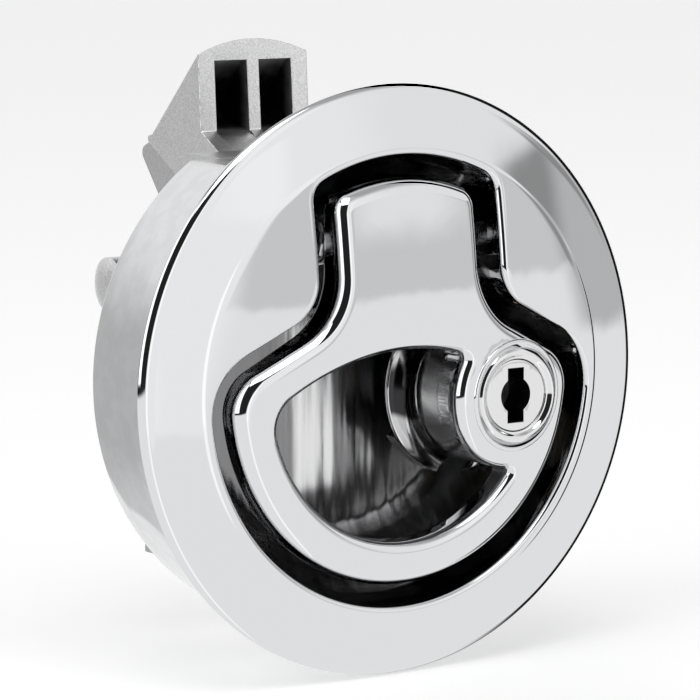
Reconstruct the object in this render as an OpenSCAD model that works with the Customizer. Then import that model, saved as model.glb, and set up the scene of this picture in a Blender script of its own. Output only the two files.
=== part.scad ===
/* [Bezel] */

// Outside diameter of the round bezel
bezel_d = 61; // [59:0.5:64]
// Thickness of the bezel at its rim
rim_t = 0.9; // [0.7:0.1:1.4]

/* [Body] */

// Diameter of the body behind the panel
body_d = 55; // [54:0.5:56.5]
// How far the round body reaches behind the panel
body_depth = 14.5; // [14:0.25:15]
// Wall of the round body
tube_wall = 2.5; // [2:0.1:2.8]

/* [Opening] */

// Radius of the round lower part of the bulb shaped opening
opening_r = 23.1; // [22.6:0.1:23.4]
// Half width of the neck of the opening
neck_half = 11.2; // [10.8:0.1:11.6]
// Gap all round between the handle and the opening
handle_gap = 2.2; // [1.8:0.1:2.4]

/* [Handle] */

// Radius of the finger opening
finger_r = 16.3; // [15.5:0.1:16.8]
// Radius of the boss round the lock
boss_r = 7.75; // [7.3:0.05:7.9]

/* [Lock] */

// Radius of the key plug
plug_r = 3.75; // [3.6:0.05:3.9]
// Radius of the flared skirt behind the lock
skirt_r = 9.7; // [9.2:0.1:10]

/* [Bolt] */

// Width of the bolt
bolt_w = 13.4; // [12.8:0.1:13.8]
// How far the bolt stands out of the flat on the body
bolt_reach = 11.2; // [10.6:0.1:11.6]
// Distance from the panel face to the front face of the bolt
bolt_front = 25.5; // [25:0.1:26]

/* [Hidden] */

$fn = 72;
arc_step = 6;

// Clearances: between moving pieces, on a pin, in the guide, round a screw
run_gap = 0.3;
fit_gap = 0.03;
slide_gap = 0.25;
hole_gap = 0.3;

// How far a cut or a joined piece runs past a face
past = 1;

// Bezel, its dome and the bright lip round the opening
rim_r = bezel_d / 2;
rim_flat = 0.3;
dome_r = 115;
dome_steps = 480;
crown = rim_t + dome_r - sqrt(dome_r * dome_r - rim_r * rim_r);
front = -crown - past;
lip_depth = 0.45;
lip_w = 0.7;

// Round body with a flat on top, and the bowl behind the opening
body_r = body_d / 2;
bore_r = body_r - tube_wall;
flat_z = 22.4;
flat_start = 6.5;
flat_wall = 2;
body_draft = 0.35;
floor_y = 11;
floor_t = 1.2;
plate_y = floor_y + floor_t;
bowl_start = 2.5;
bowl_rim_r = opening_r + 0.65;
bowl_floor_r = 17.6;
bowl_wall = 2.2;
core_front = 5.2;
core_w = 0.6;
hinge_block_half = 14;
column_r = 3.1;

// Bulb outline: a disc, two round corners, two straight shoulders and a neck
corner_r = 7;
corner_angle = 6.2;
shoulder_angle = 27;
fillet_r = 5;
neck_top_r = opening_r + 0.3;
neck_corner_r = 2.4;
handle_neck_half = neck_half - handle_gap - 0.3;

// Handle: edge steps as pairs of inset and sink, knuckle, leg and nose
pivot_y = 3.2;
pivot_drop = 8.9;
pivot_z = neck_top_r - pivot_drop;
handle_back = -0.2;
edge_steps = [[0, 1.15], [0.35, 0.55], [0.9, 0.2]];
knuckle_r = 2.7;
knuckle_half = handle_neck_half - 0.4;
leg_half = 2.5;
leg_t = 3.4;
leg_gap = 0.8;
leg_window_low = 6.5;
leg_window_top = pivot_z + 3.4;
nose_y = 25.4;
nose_z = pivot_z + 1;
nose_r = 1.5;
nose_neck_t = 2;
nose_neck_len = 4.5;
arch_r = 25;
arch_x = -0.5;
arch_top = 3.7;
tip_r = 3.6;
tip_z = -3.4;
boss_end = 3.2;
collar_w = 0.75;

// Hinge pin and the spring that keeps the handle flush
pin_r = 1.5;
pin_left = -21.6;
pin_right = 15.2;
coil_wire = 0.7;
coil_r = 2.15;
coil_turns = 7 / 3;
coil_pitch = 0.9;
coil_start = 270;
coil_gap = 0.2;
handle_arm = 5;
body_arm = 5.6;
coil_right = -6.95;
coil_steps = 12;
wire_sides = 6;
pad_half = 0.8;
pad_low = pivot_z + 2.8;
pad_top = pivot_z + 5.1;

// Lock barrel, plug and keyway
lock_x = 12.9;
lock_z = -2.1;
lock_face = -4.4;
barrel_r = 4.66;
barrel_head_r = 5.4;
barrel_head_t = 1.45;
barrel_end = 5.9;
bevel_t = 0.7;
plug_gap = 0.04;
plug_face = lock_face + 0.5;
key_r = 1.85;
key_slot_half = 1;
key_slot_reach = 2.85;
key_depth = 7;
shank_half = 2.2;
shank_gap = 0.05;
nut_af = 11.2;
nut_r = nut_af / 2 / cos(30);
nut_t = 1.2;

// Wafers in the plug, each with a lug and a spring at its side
wafer_count = 4;
wafer_t = 0.6;
wafer_pitch = 1.25;
wafer_first = -2.1;
wafer_half = 2.4;
wafer_tip_r = plug_r - 0.07;
wafer_gap = 0.05;
lug_low = 0.3;
lug_h = 0.6;
lug_w = 0.85;
wafer_spring_r = 0.28;
wafer_spring_h = 1.4;

// Skirt on the finger side of the lock: angles, bright edge and back
skirt_from = 100;
skirt_to = 250;
skirt_edge_y = 5.5;
skirt_back = 6.1;
skirt_bore = nut_r + 0.4;

// Locking cam behind the skirt, and its slot in the wall of the bowl
cam_front = skirt_back + run_gap;
cam_t = 1.6;
cam_back = cam_front + cam_t;
cam_hub_r = 6.2;
cam_r = skirt_r - 0.1;
cam_from = 212;
cam_to = 250;
slot_gap = 0.5;
slot_drop = 1;
slot_top = lock_z - slot_drop;
cam_screw_r = 1.03;
cam_screw_head = 2.4;
cam_screw_head_t = 1.4;
cam_screw_len = 3;
cam_screw_socket = 0.55;
cam_washer_r = 3.6;
cam_washer_t = 0.5;

// Rear case with the guide for the bolt
plate_t = 2.1;
plate_back = plate_y + plate_t;
plate_r = bore_r - run_gap;
block_half = 11.5;
block_top = 20;
block_back = 22;
shelf_low = 15;
case_core_x = 7.4;
case_core_w = 5.2;
case_core_top = 14;
case_window_low = 2.2;
case_window_top = 18.4;
guide_low = -22;
guide_top = 16;
guide_wall = 2.35;
guide_foot = 1.7;
guide_floor = guide_low + guide_foot;
ear_w = 0.9;
slide_half = bolt_w / 2;
channel_half = slide_half + slide_gap;
guide_half = channel_half + guide_wall;
cover_y = 31.6;
cover_t = 1.2;
cover_top = 0.3;
cover_screw_r = 0.82;
cover_screw_x = channel_half + 1.65;
cover_screw_z = [guide_low + 3, cover_top - 3];
cover_screw_len = 5;
screw_ring = 21.5;
screw_angles = [0, 180, 225, 315];
screw_r = 1.22;
screw_len = 5.4;
trunnion_r = 2.9;
trunnion_y = 18.15;
trunnion_z = 9.6;
trunnion_tip = 23.7;
trunnion_dome = 6;

// Slide under the bolt: side points as (y, z)
slide_front = block_back + run_gap;
slide_back = cover_y - run_gap;
slide_low = -8;
seat_z = 19.1;
seat_y = 37.2;
seat_rise = flat_z;
tail_low = 12.2;
tail_knee = [35.9, 17.6];
tail_centre = [seat_y + 0.55, seat_rise - 1.2];
tail_r = 0.9;
tail_steps = 15;
window_half = leg_half + 0.6;
window_depth = 6.4;

// Bolt: leaning front face, arched ramp, round heel, two pockets in the front
bolt_seam = 0.1;
bolt_top = flat_z + bolt_reach;
bolt_lean = 1.2;
bolt_face_top = bolt_front + bolt_lean;
bolt_arch_r = 18.6;
arch_cut = 0.05;
heel_y = seat_y - 0.65;
heel_z = seat_rise + 1.2;
heel_r = 0.9;
heel_steps = 14;
ledge_z = flat_z - 0.2;
ledge_rise = ledge_z + 2;
pocket_w = 4.1;
rib_w = 1.5;
pocket_top = bolt_top - 2.3;
pocket_end = [32.3, 26.3];
bolt_screw_y = 34;
bolt_screw_r = 1.22;
bolt_screw_head = 2.6;
bolt_screw_low = 15.4;
bolt_screw_seat = 17.6;
bolt_screw_top = 25;

// Bolt springs
spring_x = 3.4;
spring_y = 26.8;
spring_r = 1.95;
spring_wire = 0.6;
spring_turns = 9;
spring_bore = 2.45;
spring_top = 4;
peg_r = 1.4;
peg_h = 3;

// Extrudes a face drawing, x right and z up, from depth y0 to depth y1
module face_extrude(y0, y1) {
  translate([0, y1, 0]) rotate([90, 0, 0]) linear_extrude(height = y1 - y0) children();
}

// Extrudes a side drawing, points (y, z), over the half width w on both sides
module side_extrude(w) {
  translate([-w, 0, 0]) rotate([90, 0, 90]) linear_extrude(height = 2 * w) children();
}

// A round bar along y
module y_bar(r, y0, y1) {
  translate([0, y0, 0]) rotate([-90, 0, 0]) cylinder(h = y1 - y0, r = r);
}

// A round bar along x, at depth y and height z
module x_bar(r, x0, x1, y, z) {
  translate([x0, y, z]) rotate([0, 90, 0]) cylinder(h = x1 - x0, r = r);
}

// A block between two corners
module block(low, high) {
  translate(low) cube(high - low);
}

// Turns a drawing of points (radius, y) round the main axis
module turned() {
  rotate([-90, 0, 0]) rotate_extrude() children();
}

// Everything behind the domed face, out to the body's depth, sunk by a depth
module dome_block(sink = 0) {
  turned() intersection() {
    translate([0, dome_r - crown + sink]) circle(r = dome_r, $fn = dome_steps);
    translate([0, front]) square([rim_r + past, body_depth - front]);
  }
}

// Keeps the left and right halves alike
module both_sides() {
  children();
  mirror([1, 0, 0]) children();
}

module at_lock() {
  translate([lock_x, 0, lock_z]) children();
}

module at_case_screws() {
  for (a = screw_angles)
    translate([screw_ring * cos(a), 0, screw_ring * sin(a)]) children();
}

module at_cover_screws() {
  for (s = [-1, 1], z = cover_screw_z)
    translate([s * cover_screw_x, 0, z]) children();
}

// Points on an arc, from angle a0 to angle a1 in equal steps
function arc(x, z, r, a0, a1, step = arc_step) =
  let(n = ceil(abs(a1 - a0) / step))
  [for (k = [0 : n]) let(a = a0 + (a1 - a0) * k / n) [x + r * cos(a), z + r * sin(a)]];

function mirrored(points) =
  [for (k = [len(points) - 1 : -1 : 0]) [-points[k][0], points[k][1]]];

// Right half of the bulb outline, from the bottom round to the top:
// disc, round corner, straight shoulder, hollow fillet, neck, tip corner, tip
function half_bulb(gap, half, top_r, tip_r) =
  let(
    nx = sin(shoulder_angle),
    nz = cos(shoulder_angle),
    cx = (opening_r - corner_r) * cos(corner_angle),
    cz = -(opening_r - corner_r) * sin(corner_angle),
    fr = fillet_r + gap,
    fx = half + fr,
    fz = (nx * cx + nz * cz + corner_r - gap + fr - nx * fx) / nz,
    tip_x = half - tip_r,
    tip_z = sqrt(pow(top_r - tip_r, 2) - tip_x * tip_x),
    tip_a = atan2(tip_z, tip_x)
  )
  concat(
    arc(0, 0, opening_r - gap, -90, -corner_angle),
    arc(cx, cz, corner_r - gap, arc_step / 2 - corner_angle, 90 - shoulder_angle),
    arc(fx, fz, fr, 270 - shoulder_angle, 180),
    arc(tip_x, tip_z, tip_r, 0, tip_a),
    arc(0, 0, top_r, tip_a + arc_step / 2, 90 - arc_step / 2)
  );

module bulb(gap, half, top_r, tip_r) {
  right = half_bulb(gap, half, top_r, tip_r);
  polygon(concat(right, mirrored([for (k = [1 : len(right) - 1]) right[k]])));
}

module opening_outline(grow = 0) {
  bulb(-grow, neck_half + grow, neck_top_r + grow, neck_corner_r + grow);
}

module handle_outline(inset = 0) {
  gap = handle_gap + inset;
  bulb(gap, handle_neck_half - inset, neck_top_r - gap, neck_corner_r / 2);
}

// The pocket behind the opening narrows like a bowl to the floor
module bowl() {
  turned() polygon([
    [0, front], [bowl_rim_r, front], [bowl_rim_r, bowl_start],
    [bowl_floor_r, floor_y], [0, floor_y]
  ]);
}

// The slot that the cam turns into, in the lower right wall of the bowl
module cam_slot() {
  intersection() {
    at_lock() y_bar(cam_r + slot_gap, cam_front - run_gap, cam_back + run_gap);
    block([lock_x, 0, -rim_r], [rim_r, rim_r, slot_top]);
  }
}

// Ring shaped hollow round the bowl, open to the back, round the screw columns
module core_hollow() {
  difference() {
    turned() polygon([
      [bowl_floor_r + bowl_wall, plate_y + past], [bore_r, plate_y + past],
      [bore_r, core_front], [bore_r - core_w, core_front]
    ]);
    block([-hinge_block_half, 0, 0], [hinge_block_half, body_depth, rim_r]);
    block([lock_x - past, 0, -rim_r], [rim_r, cam_back + 1.5, slot_top + past]);
    at_case_screws() y_bar(column_r, 0, plate_y);
  }
}

module body_shell() {
  difference() {
    union() {
      intersection() {
        turned() polygon([
          [0, front], [rim_r, front], [rim_r, -rim_flat], [rim_r - rim_flat, 0], [0, 0]
        ]);
        dome_block();
      }
      turned() polygon([
        [0, -rim_flat], [body_r, -rim_flat], [body_r, flat_start],
        [body_r - body_draft, body_depth], [0, body_depth]
      ]);
    }
    block([-rim_r, flat_start, flat_z], [rim_r, body_depth + past, rim_r]);
    face_extrude(plate_y, body_depth + past) intersection() {
      circle(r = bore_r);
      translate([-bore_r, -bore_r]) square([2 * bore_r, bore_r + flat_z - flat_wall]);
    }
    core_hollow();
  }
}

module housing() {
  color([0.86, 0.87, 0.88]) difference() {
    body_shell();
    intersection() {
      face_extrude(front, floor_y) opening_outline();
      bowl();
    }
    difference() {
      face_extrude(front, 0) opening_outline(lip_w);
      dome_block(lip_depth);
    }
    cam_slot();
    block([-leg_half - leg_gap, floor_y - past, leg_window_low],
          [leg_half + leg_gap, plate_back, leg_window_top]);
    x_bar(pin_r + fit_gap, -rim_r, pin_right + 0.1, pivot_y, pivot_z);
    at_case_screws() y_bar(screw_r + fit_gap, plate_back - screw_len - run_gap, body_depth);
  }
}

module finger_opening() {
  difference() {
    intersection() {
      circle(r = finger_r);
      translate([arch_x, arch_top - arch_r]) circle(r = arch_r);
    }
    translate([lock_x, lock_z]) circle(r = boss_r);
    translate([-finger_r - 1, -tip_r + 0.4]) square([tip_r - 1, tip_r + 0.4]);
  }
  intersection() {
    translate([-finger_r + tip_r, tip_z]) circle(r = tip_r);
    circle(r = finger_r);
  }
}

// The long leg behind the hinge, thin near its end, with a round nose
module handle_leg() {
  reach = nose_y - pivot_y;
  translate([0, pivot_y, pivot_z]) rotate([atan2(nose_z - pivot_z, reach), 0, 0]) {
    block([-leg_half, 0, -leg_t / 2], [leg_half, reach - nose_neck_len, leg_t / 2]);
    block([-leg_half, 0, -nose_neck_t / 2], [leg_half, reach, nose_neck_t / 2]);
  }
  x_bar(nose_r, -leg_half, leg_half, nose_y, nose_z);
}

// A pie slice of a face drawing, well past the radius r, between two angles
module slice(r, from, to) {
  polygon(concat([[0, 0]], [for (k = [0 : 3]) let(a = from + (to - from) * k / 3)
    [2 * r * cos(a), 2 * r * sin(a)]]));
}

// Skirt round the lock that flares out to a thin round edge
module skirt() {
  at_lock() intersection() {
    turned() polygon([
      [skirt_bore, boss_end - 0.5], [boss_r, boss_end - 0.5], [boss_r, boss_end + 0.3],
      [boss_r + 0.35, boss_end + 1.2], [boss_r + 1, boss_end + 1.9],
      [skirt_r - 0.1, skirt_edge_y], [skirt_r, skirt_edge_y + 0.1],
      [skirt_r, skirt_back], [skirt_bore, skirt_back]
    ]);
    face_extrude(0, skirt_back) slice(skirt_r, skirt_from, skirt_to);
  }
}

module handle_plate() {
  for (e = edge_steps) intersection() {
    face_extrude(front, handle_back) handle_outline(e[0]);
    dome_block(e[1]);
  }
}

module handle() {
  collar_r = barrel_head_r + collar_w;
  color([0.9, 0.9, 0.91]) difference() {
    union() {
      difference() {
        union() {
          handle_plate();
          intersection() {
            at_lock() y_bar(boss_r, -1, boss_end);
            face_extrude(-1, boss_end) handle_outline(0.4);
          }
        }
        face_extrude(front, boss_end) finger_opening();
      }
      intersection() {
        at_lock() y_bar(collar_r, lock_face + 0.4, 0);
        face_extrude(front, 0) handle_outline(0.4);
      }
      x_bar(knuckle_r, coil_right + coil_wire + coil_gap, knuckle_half, pivot_y, pivot_z);
      block([coil_right + coil_wire + coil_gap, -1, pivot_z - knuckle_r + 0.3],
            [knuckle_half, pivot_y, pivot_z + knuckle_r - 0.3]);
      block([coil_right - pad_half, -1, pad_low],
            [coil_right + pad_half, pivot_y - coil_r - coil_wire / 2 - run_gap, pad_top]);
      handle_leg();
      skirt();
    }
    x_bar(pin_r + fit_gap, -opening_r, opening_r, pivot_y, pivot_z);
    at_lock() y_bar(barrel_r + fit_gap, front, boss_end + past);
    at_lock() y_bar(barrel_head_r + fit_gap, front, lock_face + barrel_head_t);
  }
}

module hinge_pin() {
  color([0.7, 0.71, 0.72]) x_bar(pin_r, pin_left, pin_right, pivot_y, pivot_z);
}

// A round wire wound along z from a start angle, with a straight arm at each end
module coil(r, wire, pitch, turns, start = 0, arm_low = 0, arm_high = 0) {
  steps = round(coil_steps * turns);
  rise = atan(pitch / (2 * PI * r));
  path = concat(
    arm_low > 0 ? [[0, -arm_low]] : [],
    [for (k = [0 : steps]) [360 * turns * k / steps, 0]],
    arm_high > 0 ? [[360 * turns, arm_high]] : []
  );
  rings = [for (p = path) let(
      t = start + p[0],
      out = [cos(t), sin(t), 0],
      up = [sin(t) * sin(rise), -cos(t) * sin(rise), cos(rise)],
      along = [-sin(t) * cos(rise), cos(t) * cos(rise), sin(rise)],
      centre = r * out + [0, 0, pitch * p[0] / 360] + p[1] * along
    ) [for (j = [0 : wire_sides - 1]) let(a = 360 * j / wire_sides)
        centre + wire / 2 * (cos(a) * out + sin(a) * up)]];
  n = len(rings);
  polyhedron(
    points = [for (ring = rings, q = ring) q],
    faces = concat(
      [[for (j = [0 : wire_sides - 1]) j]],
      [for (k = [0 : n - 2], j = [0 : wire_sides - 1]) let(i = (j + 1) % wire_sides)
        [k * wire_sides + j, (k + 1) * wire_sides + j, (k + 1) * wire_sides + i]],
      [for (k = [0 : n - 2], j = [0 : wire_sides - 1]) let(i = (j + 1) % wire_sides)
        [k * wire_sides + j, (k + 1) * wire_sides + i, k * wire_sides + i]],
      [[for (j = [wire_sides - 1 : -1 : 0]) (n - 1) * wire_sides + j]]
    )
  );
}

// Wound from the handle's side toward the left wall of the neck
module handle_spring() {
  color([0.75, 0.75, 0.76]) translate([coil_right, pivot_y, pivot_z])
    mirror([1, 0, 0]) rotate([0, 90, 0])
      coil(coil_r, coil_wire, coil_pitch, coil_turns, coil_start, handle_arm, body_arm);
}

// Round pin at the side of the case with a domed end
module trunnion() {
  intersection() {
    x_bar(trunnion_r, block_half - past, trunnion_tip, trunnion_y, trunnion_z);
    translate([trunnion_tip - trunnion_dome, trunnion_y, trunnion_z]) union() {
      sphere(r = trunnion_dome);
      block([-rim_r, -trunnion_dome, -trunnion_dome], [0, trunnion_dome, trunnion_dome]);
    }
  }
}

module case() {
  low = guide_low + 3;
  color([0.66, 0.67, 0.68]) difference() {
    union() {
      face_extrude(plate_y, plate_back) intersection() {
        circle(r = plate_r);
        translate([-plate_r, -plate_r])
          square([2 * plate_r, plate_r + flat_z - flat_wall - run_gap]);
      }
      block([-block_half, plate_back - 0.5, guide_low], [block_half, block_back, block_top]);
      block([-block_half, body_depth + run_gap, shelf_low],
            [block_half, block_back, flat_z]);
      block([-guide_half, block_back - past, guide_low], [guide_half, cover_y, guide_top]);
      block([-guide_half - ear_w, block_back - past, guide_low],
            [guide_half + ear_w, cover_y, cover_top]);
      both_sides() trunnion();
    }
    block([-channel_half, block_back, guide_floor], [channel_half, cover_y + past, bolt_top]);
    block([-leg_half - leg_gap, plate_y - past, case_window_low],
          [leg_half + leg_gap, block_back + past, case_window_top]);
    both_sides() block([case_core_x - case_core_w / 2, plate_y - past, low],
                       [case_core_x + case_core_w / 2, block_back - 2, case_core_top]);
    at_case_screws() y_bar(screw_r + hole_gap, plate_y - past, plate_back + past);
    at_cover_screws() y_bar(cover_screw_r + fit_gap, cover_y - cover_screw_len, cover_y + past);
  }
  color([0.66, 0.67, 0.68]) both_sides() translate([spring_x, spring_y, guide_floor - 0.5])
    cylinder(h = peg_h + 0.5, r = peg_r);
}

// A screw along y with a low round head at depth zero and a cross slot
module y_screw(r, head_r, head_t, len, slot) {
  dome = 1.6 * head_r;
  difference() {
    union() {
      y_bar(r, -len, head_t / 2);
      intersection() {
        y_bar(head_r, 0, head_t);
        translate([0, head_t - dome, 0]) sphere(r = dome);
      }
    }
    for (t = [45, 135])
      translate([0, head_t, 0]) rotate([0, t, 0]) cube([1.5 * head_r, head_t, slot], center = true);
  }
}

module case_screws() {
  color([0.6, 0.61, 0.62]) at_case_screws() translate([0, plate_back, 0])
    y_screw(screw_r, 2.6, 1.7, screw_len, 0.6);
}

module slide() {
  color([0.62, 0.63, 0.64]) difference() {
    side_extrude(slide_half) polygon(concat(
      [[slide_front, slide_low], [slide_back, slide_low], [slide_back, tail_low], tail_knee],
      arc(tail_centre[0], tail_centre[1], tail_r, -40, 50, tail_steps),
      [[seat_y, seat_rise], [slide_back, seat_z], [slide_front, seat_z]]
    ));
    block([-window_half, slide_front - past, nose_z - nose_r - run_gap],
          [window_half, slide_front - past + window_depth, nose_z + nose_r + run_gap]);
    both_sides() translate([spring_x, spring_y, slide_low - past])
      cylinder(h = spring_top - slide_low + past, r = spring_bore);
    translate([0, bolt_screw_y, tail_low])
      cylinder(h = bolt_top - tail_low, r = bolt_screw_r + hole_gap);
    translate([0, bolt_screw_y, tail_low])
      cylinder(h = bolt_screw_seat - tail_low, r = bolt_screw_head + hole_gap / 2);
  }
}

// Side drawing of the bolt: lower front, ledge, leaning face, ramp, heel, seat
module bolt_side() {
  polygon(concat(
    [[slide_front, seat_z + bolt_seam], [slide_front, ledge_z],
     [bolt_front + 0.5, ledge_rise], [bolt_face_top, bolt_top]],
    arc(heel_y, heel_z, heel_r, 48, -36, heel_steps),
    [[seat_y - 0.1, seat_rise + bolt_seam], [slide_back, seat_z + bolt_seam]]
  ));
}

module bolt_pockets() {
  both_sides() translate([(rib_w + pocket_w) / 2, 0, 0]) side_extrude(pocket_w / 2)
    polygon([
      [bolt_front - 2, ledge_rise - 1.1], [bolt_front - 2, pocket_top],
      [bolt_face_top + 0.8, pocket_top], pocket_end, pocket_end - [0.9, 1.1],
      [bolt_front + 1, ledge_rise - 0.1]
    ]);
}

module bolt() {
  ramp = atan2(bolt_top - heel_z - heel_r, heel_y + heel_r / 3 - bolt_face_top);
  color([0.72, 0.72, 0.72]) difference() {
    intersection() {
      side_extrude(slide_half) bolt_side();
      translate([0, bolt_face_top, bolt_top - arch_cut]) rotate([-ramp, 0, 0])
        translate([0, 0, -bolt_arch_r]) y_bar(bolt_arch_r, -rim_r, rim_r);
    }
    bolt_pockets();
    translate([0, bolt_screw_y, seat_z])
      cylinder(h = bolt_screw_top + run_gap - seat_z, r = bolt_screw_r + fit_gap);
  }
}

module bolt_screw() {
  color([0.6, 0.61, 0.62]) difference() {
    translate([0, bolt_screw_y, 0]) union() {
      translate([0, 0, bolt_screw_seat - past])
        cylinder(h = bolt_screw_top - bolt_screw_seat + past, r = bolt_screw_r);
      translate([0, 0, bolt_screw_low])
        cylinder(h = bolt_screw_seat - bolt_screw_low, r = bolt_screw_head);
    }
    translate([0, bolt_screw_y, bolt_screw_low - past]) cylinder(h = 2.3, r = 1.3, $fn = 6);
  }
}

module bolt_spring(x) {
  rise = spring_top - guide_floor - spring_wire;
  color([0.78, 0.78, 0.79]) translate([x, spring_y, guide_floor + spring_wire / 2])
    coil(spring_r, spring_wire, rise / spring_turns, spring_turns);
}

module spring_left() {
  bolt_spring(-spring_x);
}

module spring_right() {
  bolt_spring(spring_x);
}

module guide_cover() {
  color([0.7, 0.71, 0.72]) difference() {
    block([-guide_half - ear_w, cover_y, guide_low],
          [guide_half + ear_w, cover_y + cover_t, cover_top]);
    at_cover_screws() y_bar(cover_screw_r + hole_gap, cover_y - past, cover_y + cover_t + past);
  }
}

module cover_screws() {
  color([0.6, 0.61, 0.62]) at_cover_screws() translate([0, cover_y + cover_t, 0])
    y_screw(cover_screw_r, 1.7, 1.2, cover_screw_len, 0.45);
}

module lock_barrel() {
  color([0.88, 0.88, 0.89]) at_lock() difference() {
    union() {
      y_bar(barrel_r, lock_face + past, barrel_end);
      y_bar(barrel_head_r, lock_face, lock_face + barrel_head_t);
    }
    y_bar(plug_r + plug_gap, front, barrel_end + past);
    translate([0, lock_face, 0]) rotate([-90, 0, 0])
      cylinder(h = bevel_t, r1 = barrel_r, r2 = plug_r + plug_gap);
  }
}

module barrel_nut() {
  color([0.7, 0.66, 0.5]) at_lock() difference() {
    translate([0, boss_end, 0]) rotate([-90, 0, 0]) cylinder(h = nut_t, r = nut_r, $fn = 6);
    y_bar(barrel_r, boss_end - past, barrel_end + past);
  }
}

// The keyway: a round hole with a notch above and below
module key_outline(grow = 0) {
  circle(r = key_r + grow);
  square([2 * (key_slot_half + grow), 2 * (key_slot_reach + grow)], center = true);
}

module at_wafers() {
  for (k = [0 : wafer_count - 1])
    translate([lock_x, wafer_first + k * wafer_pitch, lock_z]) children();
}

module lock_plug() {
  pocket_h = wafer_spring_h + lug_h;
  color([0.9, 0.9, 0.9]) difference() {
    at_lock() {
      y_bar(plug_r, plug_face, cam_front - 0.1);
      block([-shank_half, cam_front - past, -shank_half],
            [shank_half, cam_back - 0.1, shank_half]);
    }
    at_lock() face_extrude(plug_face - past, plug_face + key_depth) key_outline();
    at_wafers() {
      block([-wafer_half - wafer_gap, -wafer_gap, -barrel_r],
            [wafer_half + wafer_gap, wafer_t + wafer_gap, barrel_r]);
      block([wafer_half, -wafer_gap, lug_low - wafer_spring_h - 0.1],
            [wafer_half + lug_w + wafer_gap, wafer_t + wafer_gap, lug_low + lug_h + wafer_gap]);
    }
    at_lock() y_bar(cam_screw_r + fit_gap, cam_back - cam_screw_len, cam_back + past);
  }
}

module wafers() {
  color([0.78, 0.66, 0.38]) at_wafers() face_extrude(0, wafer_t) difference() {
    union() {
      intersection() {
        circle(r = wafer_tip_r);
        square([2 * wafer_half, 2 * plug_r], center = true);
      }
      translate([wafer_half - 0.1, lug_low]) square([lug_w + 0.1, lug_h]);
    }
    key_outline(0.1);
  }
}

module wafer_springs() {
  color([0.78, 0.78, 0.79]) at_wafers()
    translate([wafer_half + lug_w / 2, wafer_t / 2, lug_low - wafer_spring_h])
      cylinder(h = wafer_spring_h, r = wafer_spring_r);
}

module lock_cam() {
  color([0.84, 0.85, 0.86]) at_lock() difference() {
    union() {
      y_bar(cam_hub_r, cam_front, cam_back);
      intersection() {
        y_bar(cam_r, cam_front, cam_back);
        face_extrude(cam_front, cam_back) slice(cam_r, cam_from, cam_to);
      }
    }
    block([-shank_half - shank_gap, cam_front - past, -shank_half - shank_gap],
          [shank_half + shank_gap, cam_back + past, shank_half + shank_gap]);
  }
}

module cam_washer() {
  color([0.75, 0.75, 0.76]) at_lock() difference() {
    y_bar(cam_washer_r, cam_back, cam_back + cam_washer_t);
    y_bar(cam_screw_r + hole_gap, cam_back - past, cam_back + cam_washer_t + past);
  }
}

module cam_screw() {
  color([0.6, 0.61, 0.62]) at_lock() translate([0, cam_back + cam_washer_t, 0])
    y_screw(cam_screw_r, cam_screw_head, cam_screw_head_t, cam_screw_len, cam_screw_socket);
}

housing();
handle();
hinge_pin();
handle_spring();
case();
case_screws();
slide();
bolt();
bolt_screw();
spring_left();
spring_right();
guide_cover();
cover_screws();
lock_barrel();
barrel_nut();
lock_plug();
wafers();
wafer_springs();
lock_cam();
cam_washer();
cam_screw();
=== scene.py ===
# %% [markdown]
# # Hatch latch
# A round flush latch for a hatch: a domed chrome bezel with a bulb shaped opening, a lift
# handle in that opening, a finger cup behind it, a key lock, and a bolt behind the panel.
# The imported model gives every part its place. This file gives the polished parts smooth
# meshes, and every part its metal, light and camera. Lengths are written in millimetres.

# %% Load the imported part
import math

import bmesh
import bpy
from mathutils import Matrix, Vector


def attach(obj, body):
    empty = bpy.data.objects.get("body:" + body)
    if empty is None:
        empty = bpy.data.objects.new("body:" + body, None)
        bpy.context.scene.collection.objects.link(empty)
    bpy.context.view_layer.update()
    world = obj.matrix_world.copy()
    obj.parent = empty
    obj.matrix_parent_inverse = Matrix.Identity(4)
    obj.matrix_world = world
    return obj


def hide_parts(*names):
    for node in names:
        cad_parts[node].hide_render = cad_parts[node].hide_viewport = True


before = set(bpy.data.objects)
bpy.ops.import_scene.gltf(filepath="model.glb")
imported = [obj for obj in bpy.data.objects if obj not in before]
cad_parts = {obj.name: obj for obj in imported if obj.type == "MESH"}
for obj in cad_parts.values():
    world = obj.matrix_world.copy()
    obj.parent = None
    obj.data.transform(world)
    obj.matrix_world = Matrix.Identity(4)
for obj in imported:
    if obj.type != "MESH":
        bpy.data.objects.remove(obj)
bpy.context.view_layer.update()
MM = 0.001
scene = bpy.context.scene
scene.view_settings.view_transform = "Standard"

# %% [markdown]
# ## Camera
# The photograph looks at the face from the left and a little from above, from about 37 cm.
# A constraint could aim the camera at the part. Here it is turned by its own three axes, so
# that its aim is two angles and two small shifts, which are easy to fit to a photograph.

# %% Camera
VIEW_AZ = math.radians(-33.912)
VIEW_EL = math.radians(7.819)
VIEW_DISTANCE = 366.0
AIM = Vector((0, -0.5, 0))
AIM_RIGHT = -4.624
AIM_UP = 3.212
SENSOR_MM = 36.0
LENS_MM = 183.6

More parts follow.
